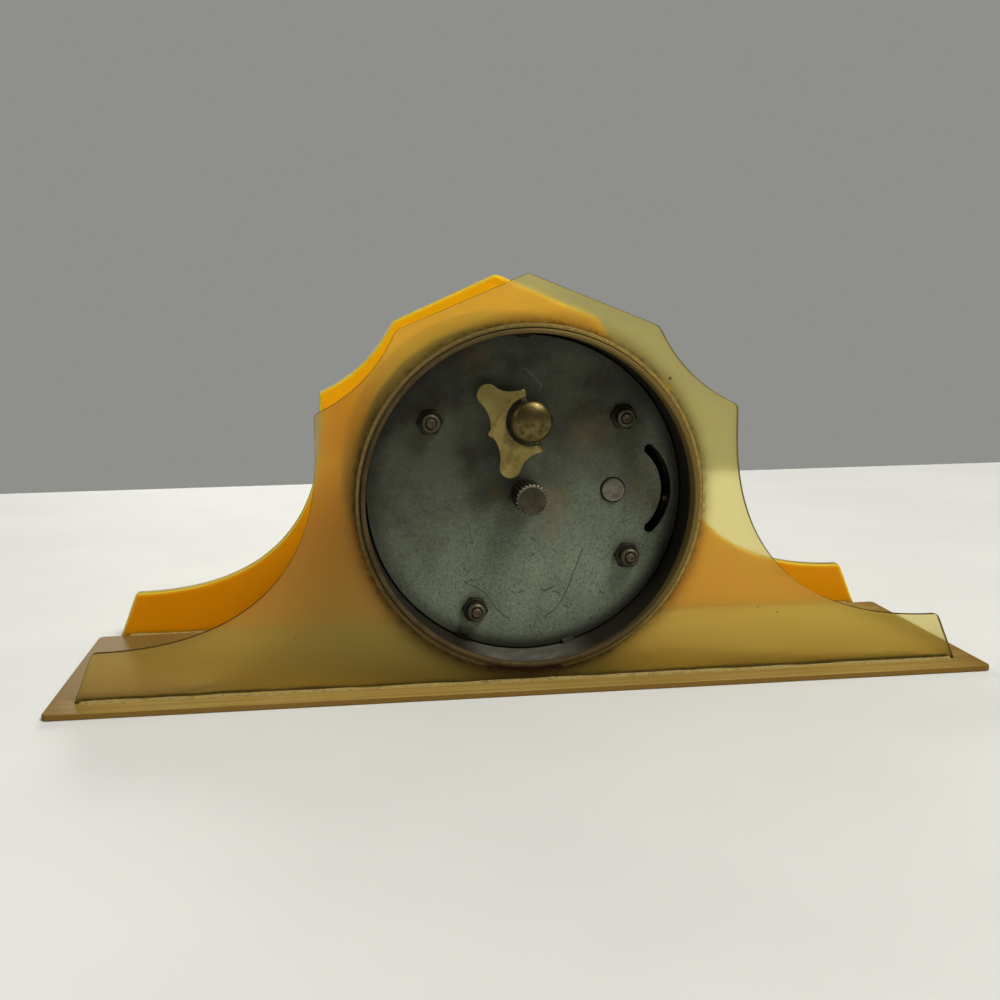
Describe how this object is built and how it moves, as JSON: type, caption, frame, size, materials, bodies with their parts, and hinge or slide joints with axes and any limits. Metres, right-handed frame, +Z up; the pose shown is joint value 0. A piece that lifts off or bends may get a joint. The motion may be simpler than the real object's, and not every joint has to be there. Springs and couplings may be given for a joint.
{
  "type": "desk clock",
  "caption": "Mantel desk clock: stepped amber sheet panels on a thin base, a round metal drum between them, and a wind-up movement with a folding key at the back.",
  "frame": {"origin": "middle of the base sheet's underside, on the table", "axes": "+Z up, -Y the way the dial faces, +Y out of the back with the key, +X to the right seen from the dial side"},
  "size_m": [0.175, 0.0606, 0.0774],
  "materials": {
    "olive_sheet": "thin amber-brown sheet, polished faces",
    "pale_sheet": "frosted translucent pale yellow sheet",
    "amber_sheet": "deep translucent amber sheet",
    "drum_steel": "dull brownish sheet metal",
    "cover_steel": "dark aged steel",
    "plain_steel": "plain turned steel",
    "spring_steel": "blued spring steel",
    "key_brass": "tarnished brass",
    "wheel_brass": "plain brass",
    "dial_paint": "cream paint",
    "hand_paint": "black paint",
    "crystal_glass": "clear domed glass"
  },
  "bodies": {
    "case": {"base_plate": "olive_sheet", "rear_collar": "olive_sheet", "rear_panel": "pale_sheet", "front_panel": "amber_sheet", "drum_shell": "drum_steel", "back_cover": "cover_steel", "pillar_nut_1": "cover_steel", "pillar_nut_2": "cover_steel", "pillar_nut_3": "cover_steel", "pillar_nut_4": "cover_steel", "pillar_1": "plain_steel", "pillar_2": "plain_steel", "pillar_3": "plain_steel", "pillar_4": "plain_steel", "cover_spacer_1": "plain_steel", "cover_spacer_2": "plain_steel", "cover_spacer_3": "plain_steel", "cover_spacer_4": "plain_steel", "balance_screw_rear": "plain_steel", "balance_screw_front": "plain_steel", "minute_stud": "plain_steel", "mainspring": "spring_steel", "hairspring": "spring_steel", "front_bezel": "key_brass", "sight_ring": "key_brass", "rear_plate": "wheel_brass", "front_plate": "wheel_brass", "dial": "dial_paint", "crystal": "crystal_glass"},
    "escape": {"escape_pinion": "plain_steel", "escape_wheel": "wheel_brass"},
    "fourth": {"fourth_pinion": "plain_steel", "fourth_wheel": "wheel_brass"},
    "third": {"third_pinion": "plain_steel", "third_wheel": "wheel_brass"},
    "centre": {"centre_pinion": "plain_steel", "centre_wheel": "wheel_brass", "friction_washer": "spring_steel"},
    "great": {"great_wheel": "wheel_brass", "click_spring": "spring_steel"},
    "click": {"click": "plain_steel"},
    "winder": {"winding_arbor": "plain_steel", "ratchet_wheel": "plain_steel", "key_hub": "key_brass", "key_pin": "plain_steel"},
    "wing": {"key_wing": "key_brass"},
    "pallet": {"pallet_arbor": "plain_steel", "pallet_lever": "wheel_brass"},
    "balance": {"balance_staff": "plain_steel", "balance_wheel": "wheel_brass"},
    "regulator": {"regulator": "plain_steel"},
    "hands": {"minute_arbor": "plain_steel", "set_knob": "cover_steel", "cannon_pinion": "plain_steel", "minute_hand": "hand_paint"},
    "minute_wheel": {"minute_wheel": "wheel_brass"},
    "hour": {"hour_wheel": "wheel_brass", "hour_hand": "hand_paint"}
  },
  "joints": [
    {"name": "escape_spin", "type": "hinge", "parent": "case", "child": "escape", "pos_m": [-0.00529, 0, 0.02351], "axis": [0, 1, 0], "continuous": true},
    {"name": "fourth_spin", "type": "hinge", "parent": "case", "child": "fourth", "pos_m": [0.00439, 0, 0.02436], "axis": [0, 1, 0], "continuous": true},
    {"name": "third_spin", "type": "hinge", "parent": "case", "child": "third", "pos_m": [0.01095, 0, 0.03217], "axis": [0, 1, 0], "continuous": true},
    {"name": "centre_spin", "type": "hinge", "parent": "case", "child": "centre", "pos_m": [0, 0, 0.0351], "axis": [0, 1, 0], "continuous": true},
    {"name": "great_spin", "type": "hinge", "parent": "case", "child": "great", "pos_m": [-0.0003, 0, 0.0493], "axis": [0, 1, 0], "continuous": true},
    {"name": "click_lift", "type": "hinge", "parent": "great", "child": "click", "pos_m": [-0.0081, 0, 0.04914], "axis": [0, 1, 0], "range_deg": [0, 12]},
    {"name": "winding_turn", "type": "hinge", "parent": "great", "child": "winder", "pos_m": [-0.0003, 0, 0.0493], "axis": [0, 1, 0], "continuous": true},
    {"name": "key_fold", "type": "hinge", "parent": "winder", "child": "wing", "pos_m": [-0.0003, 0.018, 0.0493], "axis": [0.2823, 0, 0.9593], "range_deg": [0, 90]},
    {"name": "pallet_rock", "type": "hinge", "parent": "case", "child": "pallet", "pos_m": [-0.00992, 0, 0.02822], "axis": [0, 1, 0], "range_deg": [-4, 4]},
    {"name": "balance_swing", "type": "hinge", "parent": "case", "child": "balance", "pos_m": [-0.01689, 0, 0.03531], "axis": [0, 1, 0], "range_deg": [-220, 220], "stiffness_Nm_per_rad": 0.000016},
    {"name": "regulator_turn", "type": "hinge", "parent": "case", "child": "regulator", "pos_m": [-0.01689, 0, 0.03531], "axis": [0, 1, 0], "range_deg": [-36, 58]},
    {"name": "hand_set", "type": "hinge", "parent": "case", "child": "hands", "pos_m": [0, 0, 0.0351], "axis": [0, 1, 0], "continuous": true},
    {"name": "minute_wheel_spin", "type": "hinge", "parent": "case", "child": "minute_wheel", "pos_m": [-0.0036, 0, 0.04134], "axis": [0, 1, 0], "continuous": true},
    {"name": "hour_spin", "type": "hinge", "parent": "case", "child": "hour", "pos_m": [0, 0, 0.0351], "axis": [0, 1, 0], "continuous": true}
  ],
  "couplings": [
    {"joint": "fourth_spin", "follows": "escape_spin", "ratio": -0.125},
    {"joint": "third_spin", "follows": "escape_spin", "ratio": 0.016667},
    {"joint": "centre_spin", "follows": "escape_spin", "ratio": -0.0020833},
    {"joint": "great_spin", "follows": "escape_spin", "ratio": 0.00041667},
    {"joint": "minute_wheel_spin", "follows": "hand_set", "ratio": -0.33333},
    {"joint": "hour_spin", "follows": "hand_set", "ratio": 0.083333}
  ]
}
